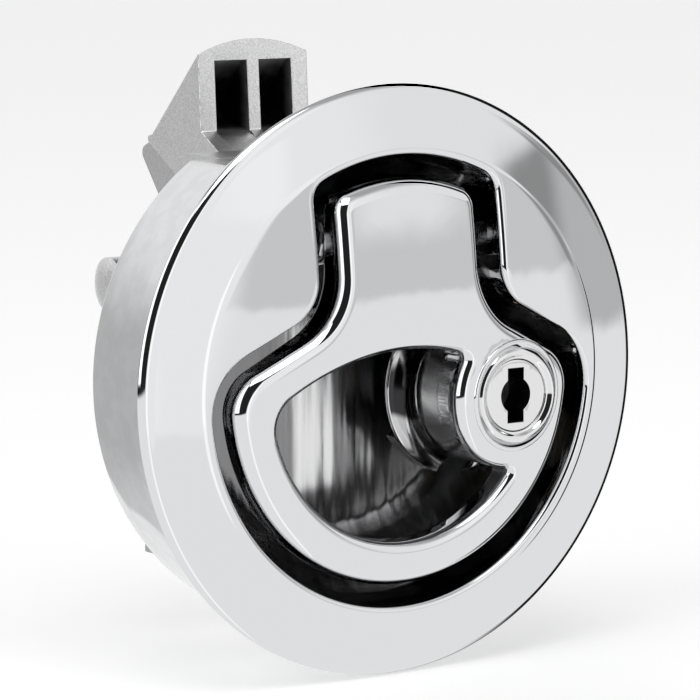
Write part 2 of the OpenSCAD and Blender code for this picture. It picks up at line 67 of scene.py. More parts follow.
toward_camera = Vector((math.sin(VIEW_AZ) * math.cos(VIEW_EL),
                        -math.cos(VIEW_AZ) * math.cos(VIEW_EL), math.sin(VIEW_EL)))
camera_right = (-toward_camera).cross(Vector((0, 0, 1))).normalized()
camera_up = toward_camera.cross(camera_right)
camera = bpy.data.objects.new("camera", bpy.data.cameras.new("camera"))
scene.collection.objects.link(camera)
camera.location = MM * (AIM + AIM_RIGHT * camera_right + AIM_UP * camera_up
                        + VIEW_DISTANCE * toward_camera)
camera.rotation_euler = toward_camera.to_track_quat("Z", "Y").to_euler()
camera.data.sensor_width = SENSOR_MM
camera.data.lens = LENS_MM
scene.camera = camera
print("camera at", [round(v, 4) for v in camera.location])

# %% [markdown]
# ## Shader maths
# A shader is easier to read as a formula. This small class wraps one socket, and each
# operator adds the Math node that it stands for. Every other node comes from `node`, which
# takes the node's type, its settings, and the values or links of its sockets. A socket is
# given by its name, or as i0, i1 and so on where two of them share a name.

# %% Sockets as expressions
class Wire:
    def __init__(self, socket):
        self.socket = socket

    def node(self, kind, settings=None, out=0, **inputs):
        made = self.socket.id_data.nodes.new(kind)
        for name, value in (settings or {}).items():
            setattr(made, name, value)
        for name, value in inputs.items():
            numbered = name[0] == "i" and name[1:].isdigit()
            plug(made.inputs[int(name[1:]) if numbered else name.replace("_", " ")], value)
        return Wire(made.outputs[out])

    def math(self, operation, other=0.0):
        return self.node("ShaderNodeMath", {"operation": operation}, i0=self, i1=other)

    def __add__(self, other):
        return self.math("ADD", other)

    def __radd__(self, other):
        return self.math("ADD", other)

    def __sub__(self, other):
        return self.math("SUBTRACT", other)

    def __rsub__(self, other):
        return self.node("ShaderNodeMath", {"operation": "SUBTRACT"}, i0=other, i1=self)

    def __mul__(self, other):
        return self.math("MULTIPLY", other)

    def __rmul__(self, other):
        return self.math("MULTIPLY", other)

    def smooth(self, low, high):
        return self.node("ShaderNodeMapRange", {"interpolation_type": "SMOOTHSTEP"},
                         Value=self, From_Min=low, From_Max=high)

    def blend(self, low_colour, high_colour):
        return self.node("ShaderNodeMix", {"data_type": "RGBA"}, out=2, i0=self,
                         i6=(*low_colour, 1), i7=(*high_colour, 1))

    def stretched(self, factors):
        return self.node("ShaderNodeVectorMath", {"operation": "MULTIPLY"}, i0=self, i1=factors)

    def parts(self):
        split = self.node("ShaderNodeSeparateXYZ", Vector=self).socket.node
        return [Wire(socket) for socket in split.outputs]

    def noise(self, scale, detail):
        return self.node("ShaderNodeTexNoise", Vector=self, Scale=scale, Detail=detail)

    def bump(self):
        return self.node("ShaderNodeBump", Height=self, Distance=MM)


def plug(socket, value):
    if isinstance(value, Wire):
        socket.id_data.links.new(value.socket, socket)
    else:
        socket.default_value = value


def feed(shader, **values):
    for name, value in values.items():
        plug(shader.inputs[name.replace("_", " ")], value)


# %% [markdown]
# ## Metals
# Polished chrome is a clear mirror, so its look comes from what it reflects. A casting is
# never quite flat under its plating: a faint, wide noise bends the reflections a little.
# Bare satin castings have a fine grain instead, made by a tight noise in the bump. A
# picture of each metal could be wrapped round the parts, but noise on the object's own
# coordinates has no seams and stays sharp from close by.

# %% One recipe for the metals
CLOUD_SCALE = 180.0
SPECKLE_RANGE = (0.38, 0.62)


def new_metal(name):
    material = bpy.data.materials.new(name)
    material.use_nodes = True
    tree = material.node_tree
    shader = tree.nodes["Principled BSDF"]
    feed(shader, Metallic=1.0)
    place = Wire(tree.nodes.new("ShaderNodeTexCoord").outputs["Object"])
    return material, shader, place


def metal(name, colour, rough, wave=0.0, wave_scale=120.0, grain=0.0, grain_scale=2500.0,
          spread=0.02, speckle=0.0):
    material, shader, place = new_metal(name)
    cloud = place.noise(CLOUD_SCALE, 3.0)
    wide = place.noise(wave_scale, 1.0)
    fine = place.noise(grain_scale, 4.0)
    darker = [c * (1 - speckle) for c in colour]
    lighter = [min(1.0, c * (1 + speckle)) for c in colour]
    feed(shader, Base_Color=fine.smooth(*SPECKLE_RANGE).blend(darker, lighter),
         Roughness=cloud * (2 * spread) + (rough - spread),
         Normal=(wide * wave + fine * grain).bump())
    return material


# %% The plain metals
chrome = metal("bright_chrome", (0.76, 0.765, 0.775), 0.045, wave=0.02, spread=0.01)
side_chrome = metal("side_chrome", (0.74, 0.745, 0.755), 0.08, wave=0.5, wave_scale=95.0,
                    spread=0.03, speckle=0.03, grain_scale=500.0)
boss_chrome = metal("boss_chrome", (0.66, 0.66, 0.665), 0.2, wave=0.12, wave_scale=200.0,
                    spread=0.05)
lock_chrome = metal("lock_chrome", (0.8, 0.8, 0.805), 0.07, grain=0.002, grain_scale=1500.0)
satin = metal("satin_casting", (0.8, 0.8, 0.805), 0.34, wave=0.05, wave_scale=300.0,
              grain=0.03, grain_scale=5600.0, spread=0.05, speckle=0.11)
worn = metal("worn_edge", (0.97, 0.97, 0.975), 0.22, grain=0.12, grain_scale=1300.0,
             spread=0.08, speckle=0.3)
dull = metal("dull_casting", (0.8, 0.8, 0.805), 0.36, wave=0.05, wave_scale=300.0,
             grain=0.03, grain_scale=5000.0, spread=0.05, speckle=0.08)
steel = metal("plain_steel", (0.66, 0.66, 0.67), 0.24, grain=0.004, spread=0.04, speckle=0.05)
brass = metal("plain_brass", (0.72, 0.58, 0.32), 0.28, grain=0.004, spread=0.04, speckle=0.05)
# Near black, as painted shade on the keyway's walls
keyway_painted_shade = metal("keyway_painted_shade", (0.015, 0.015, 0.015), 0.5)
print("each plain metal has", len(chrome.node_tree.nodes), "nodes")

# %% [markdown]
# ### Cup finish
# The cup is brushed up and down, and shows it as streaks. One band of its colour is painted
# brighter as a painted reflection, with a fainter second one beside it. Its left end and its
# lower end are painted darker, as painted shade. Paint on the mesh could hold this, but bands
# drawn from the place itself, with noise at their edges, need no image and no unwrapping.

# %% Cup finish
BRUSHED = (1.0, 0.5, 0.04)
CLOUDED = (1.0, 0.3, 0.12)
BAND_WANDER = 4.0
FIRST_REFLECTION_BAND = ((-6.0, -4.2), (-0.8, 0.0), (-13.5, -11.5))
SECOND_REFLECTION_BAND = ((0.8, 3.0), (4.5, 5.5), (-13.5, -10.5))
SHADED_LEFT_END = (-10.5, -6.5)


def ramp(value, low, high):
    return value.smooth(low * MM, high * MM)


# A painted reflection band: the base colour is brighter between rise and fall, and fades out towards
# the lower end
def painted_reflection_band(edge, up, rise, fall, foot):
    return ramp(edge, *rise) * (1 - ramp(edge, *fall)) * ramp(up, *foot)


cup_chrome, cup_shader, place = new_metal("cup_chrome")
across, _, up = place.parts()
broad = place.stretched(CLOUDED).noise(330.0, 2.0)
streak = place.stretched(BRUSHED).noise(1700.0, 3.0)
edge = across + (broad - 0.5) * (BAND_WANDER * MM)
# Painted reflection bands and brush streaks, minus the painted shade at the left end
bright = (painted_reflection_band(edge, up, *FIRST_REFLECTION_BAND) + painted_reflection_band(edge, up, *SECOND_REFLECTION_BAND) * 0.4
          + (streak - 0.5) * 0.4 + (broad - 0.5) * 0.5 - (1 - ramp(edge, *SHADED_LEFT_END)) * 0.15)
feed(cup_shader, Roughness=streak * 0.14 + 0.16, Normal=(broad * 0.35 + streak * 0.02).bump(),
     Base_Color=bright.smooth(-0.15, 0.95).blend((0.24, 0.24, 0.245), (0.82, 0.82, 0.825)))
print("cup finish has", len(cup_chrome.node_tree.nodes), "nodes")

# %% [markdown]
# ### Painted shade in the recess
# The gap round the handle is painted almost black as painted shade, with grey patches. Black
# paint would hide the patches, so this stays a metal, and one wide noise picks between its
# two greys.

# %% Painted shade in the recess
painted_recess_shade, painted_recess_shade_shader, place = new_metal("recess_shade_metal")
patch = place.noise(95.0, 1.0)
feed(painted_recess_shade_shader, Roughness=patch * 0.1 + 0.1,
     Base_Color=patch.smooth(0.47, 0.52).blend((0.04, 0.04, 0.042), (0.5, 0.5, 0.505)))
print("recess finish has", len(painted_recess_shade.node_tree.nodes), "nodes")

# %% [markdown]
# ### Finishes of the carried parts
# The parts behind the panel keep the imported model's meshes, because their plain turned and
# cast shapes are already right. Only their material slots change: steel on pins, springs,
# screws and plates, brass inside the lock, and dull zinc on the rear casting.

# %% Finishes of the carried parts
CARRIED = (
    (steel, ("hinge_pin", "handle_spring", "case_screws", "slide", "bolt_screw", "spring_left",
             "spring_right", "guide_cover", "cover_screws", "wafer_springs", "lock_cam",
             "cam_washer", "cam_screw")),
    (brass, ("barrel_nut", "wafers")),
    (dull, ("case",)),
)
for finish, names in CARRIED:
    for name in names:
        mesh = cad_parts[name].data
        mesh.materials.clear()
        mesh.materials.append(finish)
    print(finish.name, "on", len(names), "nodes")

# %% [markdown]
# ## The bulb outline
# The opening and the handle share one outline: a disc, two round corners, two straight
# shoulders, two hollow fillets, a neck and a rounded top. As every piece of it is an arc or
# a straight line, the same outline at any offset has its points in the same order. That
# lets loops at different offsets be joined into smooth skins.

# %% Bulb outline
OPENING_R = 23.1
NECK_HALF = 11.2
TOP_R = OPENING_R + 0.3
CORNER_R = 7.0
CORNER_ANGLE = 6.2
SHOULDER = 27.0
FILLET_R = 5.0
DISC_STEPS, CORNER_STEPS, FILLET_STEPS, TIP_STEPS, TOP_STEPS = 60, 22, 18, 12, 16
SHOULDER_STEPS, NECK_STEPS = 8, 12


def arc(cx, cz, r, start, stop, steps):
    angles = [math.radians(start + (stop - start) * k / steps) for k in range(steps + 1)]
    return [Vector((cx + r * math.cos(a), cz + r * math.sin(a))) for a in angles]


def between(p, q, steps):
    return [p.lerp(q, k / steps) for k in range(1, steps)]


def bulb(gap, half, top_r, tip_r):
    nx, nz = math.sin(math.radians(SHOULDER)), math.cos(math.radians(SHOULDER))
    cx = (OPENING_R - CORNER_R) * math.cos(math.radians(CORNER_ANGLE))
    cz = -(OPENING_R - CORNER_R) * math.sin(math.radians(CORNER_ANGLE))
    fr = FILLET_R + gap
    fx = half + fr
    fz = (nx * cx + nz * cz + CORNER_R - gap + fr - nx * fx) / nz
    tip_x = half - tip_r
    tip_z = math.sqrt((top_r - tip_r) ** 2 - tip_x ** 2)
    tip_a = math.degrees(math.atan2(tip_z, tip_x))
    disc = arc(0, 0, OPENING_R - gap, -90, -CORNER_ANGLE, DISC_STEPS)
    corner = arc(cx, cz, CORNER_R - gap, -CORNER_ANGLE, 90 - SHOULDER, CORNER_STEPS)
    fillet = arc(fx, fz, fr, 270 - SHOULDER, 180, FILLET_STEPS)
    tip = arc(tip_x, tip_z, tip_r, 0, tip_a, TIP_STEPS)
    top = arc(0, 0, top_r, tip_a, 90, TOP_STEPS)
    right = (disc + corner[1:] + between(corner[-1], fillet[0], SHOULDER_STEPS) + fillet
             + between(fillet[-1], tip[0], NECK_STEPS) + tip + top[1:])
    left = [Vector((-p.x, p.y)) for p in reversed(right[1:-1])]
    return right + left


# %% Outlines of the opening and the handle
GAP = 2.2
HANDLE_HALF = 8.7
OPENING_TIP_R = 2.4
HANDLE_TIP_R = 2.3
LEAST_TIP_R = 0.15


def opening(grow):
    return bulb(-grow, NECK_HALF + grow, TOP_R + grow, OPENING_TIP_R + grow)


def handle_edge(inset):
    gap = GAP + inset
    return bulb(gap, HANDLE_HALF - inset, TOP_R - gap, max(LEAST_TIP_R, HANDLE_TIP_R - inset))


print("points in the outline:", len(opening(0)))

# %% [markdown]
# ## Skins from loops
# A skin starts as one closed loop of edges. Each next loop is extruded from the last one
# and its points are put where they belong, which keeps clean rows of four-sided faces.
# Faces could be listed by hand, but then every seam would need its own sums.

# %% Loops into skins
def start_loop(bm, points):
    verts = [bm.verts.new(p) for p in points]
    for a, b in zip(verts, verts[1:] + verts[:1]):
        bm.edges.new((a, b))
    return verts


def loop_edges(verts):
    edges = []
    for a, b in zip(verts, verts[1:] + verts[:1]):
        edges.append(next(e for e in a.link_edges if e.other_vert(a) is b))
    return edges


def extrude_to(bm, verts, points):
    out = bmesh.ops.extrude_edge_only(bm, edges=loop_edges(verts))["geom"]
    fresh = {v for v in out if isinstance(v, bmesh.types.BMVert)}
    moved = []
    for old, place in zip(verts, points):
        new = next(e.other_vert(old) for e in old.link_edges if e.other_vert(old) in fresh)
        new.co = place
        moved.append(new)
    return moved


def skin(bm, rings, cap_start=False, cap_end=False):
    first = verts = start_loop(bm, rings[0])
    for ring in rings[1:]:
        verts = extrude_to(bm, verts, ring)
    if cap_start:
        bmesh.ops.contextual_create(bm, geom=loop_edges(first))
    if cap_end:
        bmesh.ops.contextual_create(bm, geom=loop_edges(verts))
    return first, verts


# %% From a bmesh to a finished piece
DOUBLES = 0.002
SHARP = math.radians(38.0)


def finish_mesh(name, bm, materials):
    bmesh.ops.remove_doubles(bm, verts=bm.verts, dist=DOUBLES)
    bmesh.ops.recalc_face_normals(bm, faces=bm.faces)
    bmesh.ops.scale(bm, vec=(MM, MM, MM), verts=bm.verts)
    for face in bm.faces:
        face.smooth = True
    for edge in bm.edges:
        edge.smooth = edge.calc_face_angle(0.0) < SHARP
    mesh = bpy.data.meshes.new(name)
    bm.to_mesh(mesh)
    bm.free()
    piece = bpy.data.objects.new(name, mesh)
    scene.collection.objects.link(piece)
    for material in materials:
        mesh.materials.append(material)
    print(name, len(mesh.polygons), "faces")
    return piece


def sort_faces(piece, slot_of):
    for face in piece.data.polygons:
        face.material_index = slot_of(face.center / MM, face.normal)


# %% [markdown]
# ## Bezel, body and finger cup
# The real one is a single casting. Its skin runs from the floor of the cup up the sloping
# wall, over the rounded lip, across the dome to the rim, round the rim, and back along the
# body to its rear edge. A revolved disc with a hole cut in it would leave ragged triangles
# at the lip. Here the loops ease from the bulb to a circle, so the reflections run on
# without a seam.

# %% Loops of the cup
CUP_START = 2.5
CUP_RIM_R = OPENING_R + 0.65
CUP_FLOOR_R = 17.6
CUP_FLOOR_Y = 11.0
FLOOR_FILLET = 1.4
FILLET_SPREAD = 0.72


def at_depth(points, y):
    return [Vector((p.x, y, p.y)) for p in points]


def shares(count):
    return [k / count for k in range(1, count + 1)]


def cup_radius(y):
    part = min(1.0, max(0.0, (y - CUP_START) / (CUP_FLOOR_Y - CUP_START)))
    return CUP_RIM_R + (CUP_FLOOR_R - CUP_RIM_R) * part


def limited(points, radius):
    return [p * min(1.0, radius / p.length) for p in points]


base = opening(0)
cup_floor = limited(base, CUP_FLOOR_R - FLOOR_FILLET)
rings = [at_depth([p * share for p in cup_floor], CUP_FLOOR_Y)
         for share in (0.12, 0.3, 0.5, 0.7, 0.85, 0.95)]
for share in [0] + shares(6):
    turn = math.radians(90 * share)
    back = FLOOR_FILLET * (1 - math.cos(turn))
    radius = CUP_FLOOR_R - FLOOR_FILLET * (1 - math.sin(turn)) + FILLET_SPREAD * back
    rings.append(at_depth(limited(base, radius), CUP_FLOOR_Y - back))
wall_low = CUP_FLOOR_Y - FLOOR_FILLET
for share in shares(10):
    y = wall_low + (CUP_START - wall_low) * share
    rings.append(at_depth(limited(base, cup_radius(y)), y))
print("loops of the cup:", len(rings))

# %% [markdown]
# ### The bezel's face
# The face is a shallow dome. A soft crease runs round it outside the opening, and from there
# the ring slopes a little more. In a mirror finish such a small change of slope shows as a
# line between two greys, so it is part of the mesh and not of the material.

# %% The dome and its crease
RIM_R = 30.5
RIM_T = 0.9
DOME_R = 115.0
CROWN = RIM_T + DOME_R - math.sqrt(DOME_R ** 2 - RIM_R ** 2)
CREASE_R = 24.25
CREASE_HALF = 0.2
CREASE_IN = CREASE_R - CREASE_HALF
CREASE_OUT = CREASE_R + 1.4 * CREASE_HALF
CREASE_STEP = 0.04
FACE_LIFT = 0.1
RING_SLOPE = math.tan(math.radians(15.0))
RING_BEND = 0.0095


def dome(x, z, sink=0.0):
    return DOME_R - CROWN + sink - math.sqrt(DOME_R ** 2 - x * x - z * z)


def ease(share):
    return share * share * (3 - 2 * share)


def bezel_face(p, sink=0.0):
    if p.length <= CREASE_IN:
        return dome(p.x, p.y, sink) - FACE_LIFT
    out = p.length - CREASE_IN
    step = CREASE_STEP * ease(min(1.0, out / (2 * CREASE_HALF)))
    start = dome(CREASE_IN, 0, sink) - FACE_LIFT
    return start + step + RING_SLOPE * out + 0.5 * RING_BEND * out * out


def on_face(points, sink=0.0):
    return [Vector((p.x, bezel_face(p, sink), p.y)) for p in points]


print("crown of the dome", round(dome(0, 0), 3), "rim", round(bezel_face(Vector((RIM_R, 0))), 3))

# %% Loops of the lip and the face
LIP_R = 0.85
LEAST_STEP = 0.02


def at_least(points, radius, step):
    return [p.normalized() * max(radius, p.length + step) for p in points]


def polar(points, radius):
    return [p.normalized() * radius for p in points]


def eased(first, last, share):
    return [p.lerp(q, share) for p, q in zip(first, last)]


for share in shares(6):
    rings.append([Vector((p.x, CUP_START + (bezel_face(p, LIP_R) - CUP_START) * share, p.y))
                  for p in base])
for share in shares(8):
    turn = math.radians(90 * share)
    rings.append(on_face(opening(LIP_R * (1 - math.cos(turn))), LIP_R * (1 - math.sin(turn))))
shore = opening(LIP_R + LEAST_STEP)
inner_circle = at_least(shore, CREASE_IN, LEAST_STEP)
for share in [0] + shares(12):
    rings.append(on_face(eased(shore, inner_circle, share)))
for share in shares(8):
    radius = CREASE_IN + (CREASE_OUT - CREASE_IN) * share
    crease_ring = at_least(shore, radius, LEAST_STEP * (1 + 8 * share))
    rings.append(on_face(crease_ring))
print("loops with the face:", len(rings))

# %% Loops of the rim
BODY_R = 27.5
RIM_FILLET = 1.15
RIM_TURN = math.radians(74)
RIM_DEPTH = 0.62
RIM_DIP = 0.16

rim_start = RIM_R - RIM_FILLET
rim_base = polar(shore, rim_start)
rim_y = bezel_face(Vector((rim_start, 0)))
for share in shares(12):
    rings.append(on_face(eased(crease_ring, rim_base, share)))
for share in shares(7):
    turn = RIM_TURN * share
    radius = rim_start + RIM_FILLET * math.sin(turn) / math.sin(RIM_TURN)
    y = rim_y + RIM_DEPTH * RIM_FILLET * (1 - math.cos(turn)) + RIM_DIP * math.sin(turn)
    rings.append(at_depth(polar(shore, radius), y))
for radius, y in ((RIM_R, -0.2), (RIM_R - 0.12, -0.05), (RIM_R - 0.3, 0.0), (BODY_R + 0.4, 0.0)):
    rings.append(at_depth(polar(shore, radius), y))
print("loops with the rim:", len(rings))

# %% Loops of the body
BORE_R = 25.0
BODY_END = 14.5
BODY_DRAFT = 0.35
BACK_EDGE = 0.3
BORE_EDGE = 0.15
FLAT_Z = 22.4
FLAT_START = 6.5
FLAT_EDGE = 0.03
FLAT_WALL = 2.0
FLOOR_BACK = 12.1


def cut_flat(points, top):
    return [Vector((p.x, min(p.y, top))) for p in points]


def rear_radius(y):
    return BODY_R - BODY_DRAFT * (y - FLAT_START) / (BODY_END - FLAT_START)


for y in (0.0, 0.05, 1.5, 3.0, 4.5, 6.0, FLAT_START - FLAT_EDGE):
    rings.append(at_depth(polar(shore, BODY_R), y))
for y in (FLAT_START, FLAT_START + FLAT_EDGE, 8.5, 10.5, 12.5, BODY_END - 0.35):
    rings.append(at_depth(cut_flat(polar(shore, rear_radius(y)), FLAT_Z), y))
for share in shares(4):
    turn = math.radians(90 * share)
    inward = BACK_EDGE * (1 - math.cos(turn))
    ring = cut_flat(polar(shore, BODY_R - BODY_DRAFT - inward), FLAT_Z - inward)
    rings.append(at_depth(ring, BODY_END - BACK_EDGE + BACK_EDGE * math.sin(turn)))
bore = cut_flat(polar(shore, BORE_R), FLAT_Z - FLAT_WALL)
bore_mouth = cut_flat(polar(shore, BORE_R + BORE_EDGE), FLAT_Z - FLAT_WALL + BORE_EDGE)
rings.append(at_depth(bore_mouth, BODY_END))
rings.append(at_depth(bore, BODY_END - BORE_EDGE))
rings.append(at_depth(bore, FLOOR_BACK + BORE_EDGE))
for share in (0.8, 0.5, 0.2):
    rings.append(at_depth([p * share for p in bore], FLOOR_BACK))
print("loops of the whole casting:", len(rings))

# %% [markdown]
# ### Skin and finishes of the casting
# The loops become one closed skin. One casting shows five finishes, so its faces are sorted by
# place: bright face, wavy side, brushed cup, painted shade in the gap round the handle, satin flat.

# %% Skin and finishes of the casting
FACE, SIDE, CUP, RECESS_SHADE, FLAT = range(5)
GAP_START = -1.4
GAP_END = 4.2
HINGE_LOW = 6.5


def casting_slot(middle, normal):
    far = math.hypot(middle.x, middle.z)
    in_cup = far < cup_radius(middle.y) + 0.3 and middle.y < CUP_FLOOR_Y + 0.5
    in_gap = in_cup and middle.y > GAP_START and far < CREASE_R - 0.6
    # Faces deep in the gap round the handle get the painted recess shade
    if in_gap and (middle.y < GAP_END or middle.z > HINGE_LOW):
        return RECESS_SHADE
    if middle.y > FLAT_START - 0.05 and middle.z > FLAT_Z - 0.4 and abs(normal.z) > 0.5:
        return FLAT
    if middle.y > 0.5:
        return CUP if in_cup else SIDE
    return FACE


shell = bmesh.new()
skin(shell, rings, cap_start=True, cap_end=True)
housing = finish_mesh("housing_skin", shell, [chrome, side_chrome, cup_chrome, painted_recess_shade, satin])
sort_faces(housing, casting_slot)

# %% [markdown]
# ### Cuts in the casting
# The leg of the handle needs a window in the floor, the hinge pin a hole in each side of the
# neck, and the cam a slot in the wall. Each is cut with a plain tool body, which is then
# removed. The loops could have been led round the holes, but none of them shows its edge.

# %% Tools that cut
def add_box(bm, low, high):
    made = bmesh.ops.create_cube(bm, size=1.0)["verts"]
    for v in made:
        v.co = Vector([(a + b) / 2 + c * (b - a) for a, b, c in zip(low, high, v.co)])
    return made


def add_bar(bm, radius, start, stop, segments=48):
    start, stop = Vector(start), Vector(stop)
    made = bmesh.ops.create_cone(bm, cap_ends=True, segments=segments, radius1=radius,
                                 radius2=radius, depth=(stop - start).length)["verts"]
    turn = (stop - start).to_track_quat("Z", "Y").to_matrix()
    bmesh.ops.rotate(bm, cent=(0, 0, 0), matrix=turn, verts=made)
    bmesh.ops.translate(bm, vec=(start + stop) / 2, verts=made)
    return made


def tool(add, *sizes):
    bm = bmesh.new()
    add(bm, *sizes)
    return finish_mesh("tool", bm, [])


def combine(piece, other, operation="DIFFERENCE"):
    cut = piece.modifiers.new("cut", "BOOLEAN")
    cut.operation = operation
    cut.solver = "EXACT"
    cut.object = other
    bpy.context.view_layer.update()
    now = piece.evaluated_get(bpy.context.evaluated_depsgraph_get())
    result = bpy.data.meshes.new_from_object(now)
    piece.modifiers.clear()
    piece.data = result
    bpy.data.objects.remove(other)


# %% Cuts
PIVOT_Y, PIVOT_Z = 3.2, 14.5
PIN_HOLE_R = 1.53
PIN_HOLES = ((-22, -9), (9, 15.3))
LEG_WINDOW = ((-3.3, 10.5, 6.5), (3.3, 13.0, 17.9))
LOCK = Vector((12.9, -2.1))
CAM_R, CAM_FRONT, CAM_BACK = 9.6, 6.4, 8.0
SLOT_ROOM, SLOT_GAP, SLOT_DROP = 0.5, 0.3, 1
SLOT_SIDE = ((LOCK.x, 0, -30), (30, 20, LOCK.y - SLOT_DROP))

combine(housing, tool(add_box, *LEG_WINDOW))
for start, stop in PIN_HOLES:
    combine(housing, tool(add_bar, PIN_HOLE_R, (start, PIVOT_Y, PIVOT_Z), (stop, PIVOT_Y, PIVOT_Z)))
slot_tool = tool(add_bar, CAM_R + SLOT_ROOM, (LOCK.x, CAM_FRONT - SLOT_GAP, LOCK.y),
                 (LOCK.x, CAM_BACK + SLOT_GAP, LOCK.y), 96)
combine(slot_tool, tool(add_box, *SLOT_SIDE), "INTERSECT")
combine(housing, slot_tool)
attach(housing, "body")
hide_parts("housing")
print("housing after its cuts:", len(housing.data.polygons), "faces")

# %% [markdown]
# ## Handle
# The face of the handle is the same dome, a little lower, with a rounded edge all round and
# round the finger opening. That opening is an egg with a bite taken by the lock's boss. Its
# outline is six arcs that touch, and each small arc's centre is where two circles meet.

# %% Arcs that touch
def meet(c1, r1, c2, r2):
    apart = c2 - c1
    d = apart.length
    along = (d * d + r1 * r1 - r2 * r2) / (2 * d)
    off = math.sqrt(r1 * r1 - along * along)
    return c1 + apart * (along / d) - off * Vector((-apart.y, apart.x)) / d


def heading(p, q):
    return math.degrees(math.atan2(q.y - p.y, q.x - p.x))


def rising(start, stop):
    return stop + 360 * math.ceil((start - stop) / 360)


def falling(start, stop):
    return stop - 360 * math.ceil((stop - start) / 360)


# %% Finger opening outline
FINGER_R = 16.3
ARCH_R = 25.0
ARCH = Vector((-0.5, 3.7 - ARCH_R))
BOSS_R = 7.75
LEFT_R, LOW_R, TOP_CORNER_R = 3.6, 0.5, 0.9


def finger_edge(grow):
    origin = Vector((0, 0))
    left = meet(origin, FINGER_R - LEFT_R, ARCH, ARCH_R - LEFT_R)
    low = meet(origin, FINGER_R - LOW_R, LOCK, BOSS_R + LOW_R)
    top = meet(LOCK, BOSS_R + TOP_CORNER_R, ARCH, ARCH_R - TOP_CORNER_R)
    marks = [heading(origin, left), heading(origin, low), heading(low, LOCK)]
    big = arc(0, 0, FINGER_R + grow, marks[0], rising(marks[0], marks[1]), 70)
    low_arc = arc(*low, LOW_R + grow, marks[1], rising(marks[1], marks[2]), 12)
    boss_start = heading(LOCK, low)
    boss = arc(*LOCK, BOSS_R - grow, boss_start, falling(boss_start, heading(LOCK, top)), 40)
    marks = [heading(top, LOCK), heading(ARCH, top), heading(ARCH, left), heading(origin, left)]
    top_arc = arc(*top, TOP_CORNER_R + grow, marks[0], rising(marks[0], marks[1]), 12)
    arch = arc(*ARCH, ARCH_R + grow, marks[1], rising(marks[1], marks[2]), 40)
    left_arc = arc(*left, LEFT_R + grow, marks[2], rising(marks[2], marks[3]), 16)
    return big + low_arc[1:] + boss[1:] + top_arc[1:] + arch[1:] + left_arc[1:-1]


hole = finger_edge(0)
print("finger opening", round(min(p.x for p in hole), 2), "to", round(max(p.x for p in hole), 2))

# %% [markdown]
# ### Edges of the handle
# Both edges of the plate, the outer one and the one round the fingers, are skins: up the
# side, then a quarter turn onto the face. A bevel on a finished plate would do this too, but
# it breaks where the outline's arcs are shorter than the bevel.

# %% Edges of the handle
HANDLE_SINK = 0.2
HANDLE_BACK = -0.2
EDGE_R = 1.6
HOLE_EDGE_R = 1.5
BACK_BEVEL = 0.35


def on_dome(points, sink=0.0):
    return [Vector((p.x, dome(p.x, p.y, sink), p.y)) for p in points]


def side_rings(outline_at, radius):
    outline = outline_at(0)
    low = HANDLE_BACK - BACK_BEVEL
    made = [at_depth(outline_at(BACK_BEVEL), HANDLE_BACK),
            at_depth(outline_at(0.1), HANDLE_BACK - 0.08), at_depth(outline, low)]
    for share in shares(4)[:-1]:
        made.append([Vector((p.x, low + (dome(p.x, p.y, HANDLE_SINK + radius) - low) * share, p.y))
                     for p in outline])
    return made


def edge_rings(outline_at, radius):
    made = []
    for share in [0] + shares(8):
        turn = math.radians(90 * share)
        points = outline_at(radius * (1 - math.cos(turn)))
        made.append(on_dome(points, HANDLE_SINK + radius * (1 - math.sin(turn))))
    made.append(on_dome(outline_at(radius + 0.15), HANDLE_SINK))
    return made


plate = bmesh.new()
(outer_back, outer_front), (hole_back, hole_front) = [
    skin(plate, side_rings(outline_at, radius) + edge_rings(outline_at, radius))
    for outline_at, radius in ((handle_edge, EDGE_R), (finger_edge, HOLE_EDGE_R))]
print("points round the handle:", len(outer_front), "round the fingers:", len(hole_front))

# %% [markdown]
# ### Field of the handle
# The field between the edges is filled with triangles, split until they are small, and laid
# on the dome. Two loops with different numbers of points can't be bridged evenly, but they
# can be filled, and small triangles on one smooth surface reflect as cleanly as rows do.

# %% Filling between loops
def fill_between(bm, *loops):
    edges = [e for verts in loops for e in loop_edges(verts)]
    made = bmesh.ops.triangle_fill(bm, use_beauty=True, use_dissolve=False, edges=edges)
    return [f for f in made["geom"] if isinstance(f, bmesh.types.BMFace)]


def split_long(bm, faces, longest, lay):
    for f in faces:
        f.material_index = 1
    border = {e for f in faces for e in f.edges if any(g.material_index == 0 for g in e.link_faces)
              or len(e.link_faces) == 1}
    fixed = {v for e in border for v in e.verts}
    for _ in range(9):
        inside = {e for f in bm.faces if f.material_index for e in f.edges} - border
        long_edges = [e for e in inside if e.calc_length() > longest]
        if not long_edges:
            break
        bmesh.ops.subdivide_edges(bm, edges=long_edges, cuts=1)
        wide = [f for f in bm.faces if f.material_index and len(f.verts) > 3]
        bmesh.ops.triangulate(bm, faces=wide)
        faces = [f for f in bm.faces if f.material_index]
        inner = list({e for f in faces for e in f.edges} - border)
        bmesh.ops.beautify_fill(bm, faces=faces, edges=inner)
        for v in {v for f in bm.faces if f.material_index for v in f.verts} - fixed:
            v.co.y = lay(v.co.x, v.co.z)
    for f in bm.faces:
        f.material_index = 0


# %% Field of the handle
LOCK_HOLE_R = 5.43
COLLAR_R = 5.95
COLLAR_PROFILE = ((5.9, -0.02), (5.86, -0.12), (5.8, -0.2), (5.7, -0.24), (5.5, -0.24),
                  (LOCK_HOLE_R, -0.2), (LOCK_HOLE_R, 1.4))
LONGEST_EDGE = 1.6


def lock_circle(radius, steps=72):
    return arc(*LOCK, radius, 0, 360, steps)[:-1]


